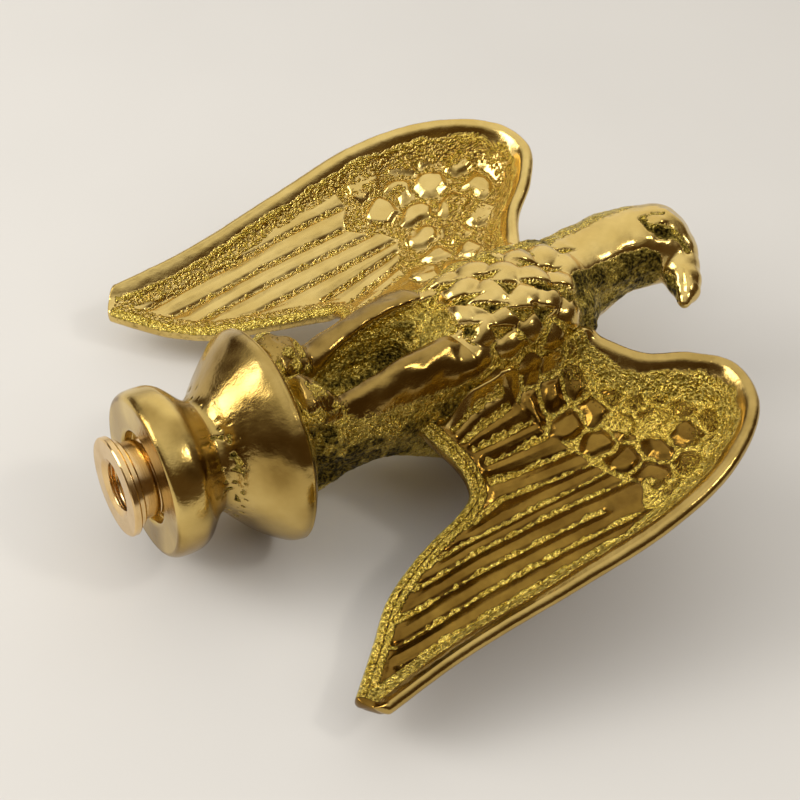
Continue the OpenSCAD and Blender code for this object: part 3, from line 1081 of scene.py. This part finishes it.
def pedestal():
    """Spool under the eagle, with the collar, its socket and the disc."""
    curve = catmull(SPOOL_OUTLINE, np.linspace(0, 1, SPOOL_ROWS))[1:]
    outline = np.concatenate([resampled(SOCKET_OUTLINE, LATHE_STEP), curve,
                              resampled(FOOT_OUTLINE, LATHE_STEP)[1:]])
    points, _ = turned(outline, LATHE_AROUND)
    x = points[:, 0]
    radius = np.hypot(points[:, 1], points[:, 2])
    outside = ramp(radius, 12.5, 13.5) * ramp(x, 13.8, 15)
    waist = between(x, *WAIST_X)
    streaky = points * np.array([0.55, 1, 1])
    pocks = waist * ramp(noise(streaky, 0.95, 81) + 0.45 * noise(points, 6, 82), 0.34, 0.62)
    polish = 1 - pocks
    polish *= 1 - ramp(x, 37.6, 38.8)
    pit = 0.75 * pocks
    swell = 0.35 * noise(points, 9, 85) + 0.1 * noise(points, 3, 87) - 0.35 * pocks
    swell += 0.14 * grain(points, 0.9, 89) * (1 - polish)
    swell *= outside
    stains = noise(points, 7, 93)
    collar = ramp(radius, *COLLAR_RADIUS) * ramp(x, *COLLAR_X[::-1])
    # The collar band darkens towards the bottom, and in stains.
    tarnish_and_dark_reflection = collar * (0.7 * ramp(points[:, 2] + 4 * stains, 6, -6) + 0.6 * ramp(stains, 0, 0.5))
    tarnish_and_dark_reflection += ramp(x, *FACE_X[::-1]) * ramp(radius, *FACE_RADIUS) * (0.3 + 0.5 * stains)
    tarnish_and_dark_reflection += outside * (0.48 + 0.5 * noise(points, 10, 91))
    factor = 1 + swell / np.maximum(radius, 1)
    points[:, 1] *= factor
    points[:, 2] *= factor
    faces = tube_faces(len(outline), LATHE_AROUND)
    points = np.concatenate([points, [[SOCKET_END, 0, 0], [PEDESTAL_END, 0, 0]]])
    channels = {"polish": np.append(polish, [0, 0]), "pit": np.append(pit, [0, 0]),
                "tarnish_and_dark_reflection": np.append(tarnish_and_dark_reflection, [0, 0])}
    piece = make_piece("pedestal_cast", points, faces, CASTING, channels)
    finish_piece(piece, "finial", "cast_brass", "pedestal")


pedestal()

# ---- adapter

INNER_PITCH = 1.954
OUTER_PITCH = 1.5
THREAD_AROUND = 160
THREAD_STEP = 0.16
INNER_DEPTH = 0.95
OUTER_DEPTH = 0.7
# Where each thread runs out along the axis, and the radii that tell bore and shank apart.
INNER_X = (0.6, 1.4, 20, 20.8)
OUTER_X = (6.6, 7.6, 19.6, 20.6)
BORE_LIMIT = 6
SHANK_LIMITS = (8.5, 9.1)


def thread(x, angle, pitch, depth):
    """Depth of a helical thread groove at each point."""
    phase = (x / pitch - angle / (2 * math.pi)) % 1
    return depth * np.clip(1.25 * np.abs(2 * phase - 1) - 0.12, 0, 1)


def ring_mesh(name, outline, thread_rules, material):
    """Closed ring turned from a closed outline of (x, radius) corners."""
    rows = resampled(outline + outline[:1], THREAD_STEP)[:-1]
    points, angle = turned(rows, THREAD_AROUND)
    radius = np.hypot(points[:, 1], points[:, 2])
    for rule in thread_rules:
        radius = rule(points[:, 0], radius, angle)
    points[:, 1] = radius * np.cos(angle)
    points[:, 2] = radius * np.sin(angle)
    quads = ring_quads(len(rows), len(rows), THREAD_AROUND)
    return make_piece(name, points, [quads], material)


def inner_thread(x, radius, angle):
    groove = between(x, *INNER_X) * thread(x, angle, INNER_PITCH, INNER_DEPTH)
    return np.where(radius < BORE_LIMIT, radius + groove, radius)


def outer_thread(x, radius, angle):
    groove = between(x, *OUTER_X) * thread(x, angle, OUTER_PITCH, OUTER_DEPTH)
    on_shank = (radius > SHANK_LIMITS[0]) & (radius < SHANK_LIMITS[1])
    return np.where(on_shank, radius - groove, radius)


BUSHING_OUTLINE = [(0.15, 6.6), (0, 6.9), (0, 11.15), (0.35, 11.5), (1.5, 11.5), (1.8, 11.2),
                   (1.8, 9), (2.0, 8.9), (19.8, 8.9), (21, 7.9), (21, 6.4), (20.2, 5.4),
                   (0.9, 5.4)]
WASHER_OUTLINE = [(1.9, 9.1), (1.85, 9.3), (1.85, 9.9), (2.1, 10.1), (3.1, 10.1), (3.4, 9.8),
                  (3.4, 9.1)]

finish_piece(ring_mesh("adapter_bushing_turned", BUSHING_OUTLINE, [inner_thread, outer_thread],
                       MACHINED), "bushing", "machined_brass", "adapter_bushing")
finish_piece(ring_mesh("spacer_washer_turned", WASHER_OUTLINE, [], MACHINED),
             "washer", "machined_brass", "spacer_washer")

# ---- floor, light and camera

FLOOR_Z = CAD_BOX[0][2]


def sheet(name, reach, z, material):
    """Level square with the given material."""
    mesh = bpy.data.meshes.new(name)
    mesh.from_pydata([(-reach, -reach, z), (reach, -reach, z), (reach, reach, z),
                      (-reach, reach, z)], [], [(0, 1, 2, 3)])
    mesh.materials.append(material)
    obj = bpy.data.objects.new(name, mesh)
    bpy.context.scene.collection.objects.link(obj)


FLOOR_REACH = 6
FLOOR_COLOUR = (0.63, 0.615, 0.59)
sheet("floor", FLOOR_REACH, FLOOR_Z, paper("floor_paper", FLOOR_COLOUR))


AIM = np.array([0.07, 0, 0])
# Name, direction, distance and size in m, power in W, colour, and whether the brass shows it.
LIGHTS = [
    ("window", (-0.80, 0.44, 0.44), 1.1, (0.45, 0.75), 7.5, (1.0, 0.98, 0.94), True),
    ("floor_fill", (0.35, -0.60, 0.72), 1.2, (0.8, 0.8), 3.2, (1.0, 0.98, 0.95), False),
    ("floor_wash", (-0.70, 0.30, 0.65), 0.7, (0.5, 0.5), 1.5, (1.0, 0.98, 0.95), False),
    ("lamp", (0.42, -0.42, 0.80), 1.2, (0.14, 0.14), 1.6, (1.0, 0.96, 0.88), True),
]


def placed(x, y, z, place):
    """World matrix of an object with the given axes and place."""
    return Matrix([[x[r], y[r], z[r], place[r]] for r in range(3)] + [[0, 0, 0, 1]])


def area_light(name, toward, distance, size, power, colour, in_brass):
    """Area light that shines on the object from a direction."""
    data = bpy.data.lights.new(name, "AREA")
    data.shape = "RECTANGLE"
    data.size, data.size_y = size
    data.energy = power
    data.color = colour
    light = bpy.data.objects.new(name, data)
    bpy.context.scene.collection.objects.link(light)
    light.visible_glossy = in_brass
    z = np.asarray(toward, float) / np.linalg.norm(toward)
    x = np.cross([0, 0, 1], z)
    x /= np.linalg.norm(x)
    y = np.cross(z, x)
    light.matrix_world = placed(x, y, z, AIM + z * distance)


for light_settings in LIGHTS:
    area_light(*light_settings)

# The dim room that the brass reflects, what the camera sees in its place, and two bright parts
# of the room: direction, cosines of the outer and inner edge, colour.
ROOM = (0.095, 0.058, 0.024)
BACKDROP = (0.50, 0.48, 0.45)
GLOWS = [
    ((-0.10, 0.22, 0.97), 0.50, 0.95, (1.04, 1.02, 0.98)),
    ((0.60, 0.66, 0.45), 0.62, 0.93, (1.05, 1.01, 0.94)),
]
world = bpy.data.worlds.new("studio")
bpy.context.scene.world = world
world.use_nodes = True
world_tree = world.node_tree
sky_place = add_node(world_tree, "ShaderNodeTexCoord").outputs["Generated"]
sky = ROOM
for toward, edge, core, colour in GLOWS:
    facing = add_node(world_tree, "ShaderNodeVectorMath", {0: sky_place}, operation="DOT_PRODUCT")
    facing.inputs[1].default_value = toward
    glow = map_range(world_tree, facing.outputs["Value"], edge, core)
    sky = mix_colour(world_tree, glow, sky, colour)
seen = add_node(world_tree, "ShaderNodeLightPath").outputs["Is Camera Ray"]
sky = mix_colour(world_tree, seen, sky, BACKDROP)
world_tree.links.new(sky, world_tree.nodes["Background"].inputs["Color"])
world_tree.nodes["Background"].inputs["Strength"].default_value = 1.0
bpy.context.scene.view_settings.view_transform = "Standard"

CAMERA_PLACE = (-86.5, -211.2, 275.0)
CAMERA_RIGHT = (0.8551, -0.5072, 0.1072)
CAMERA_UP = (0.3098, 0.6658, 0.6787)
CAMERA_BACK = (-0.4156, -0.5472, 0.7265)
LENS = 72.2

camera_data = bpy.data.cameras.new("camera")
camera_data.lens = LENS
camera_data.clip_start = 0.01
camera = bpy.data.objects.new("camera", camera_data)
bpy.context.scene.collection.objects.link(camera)
camera.matrix_world = placed(CAMERA_RIGHT, CAMERA_UP, CAMERA_BACK, np.array(CAMERA_PLACE) * MM)
bpy.context.scene.camera = camera
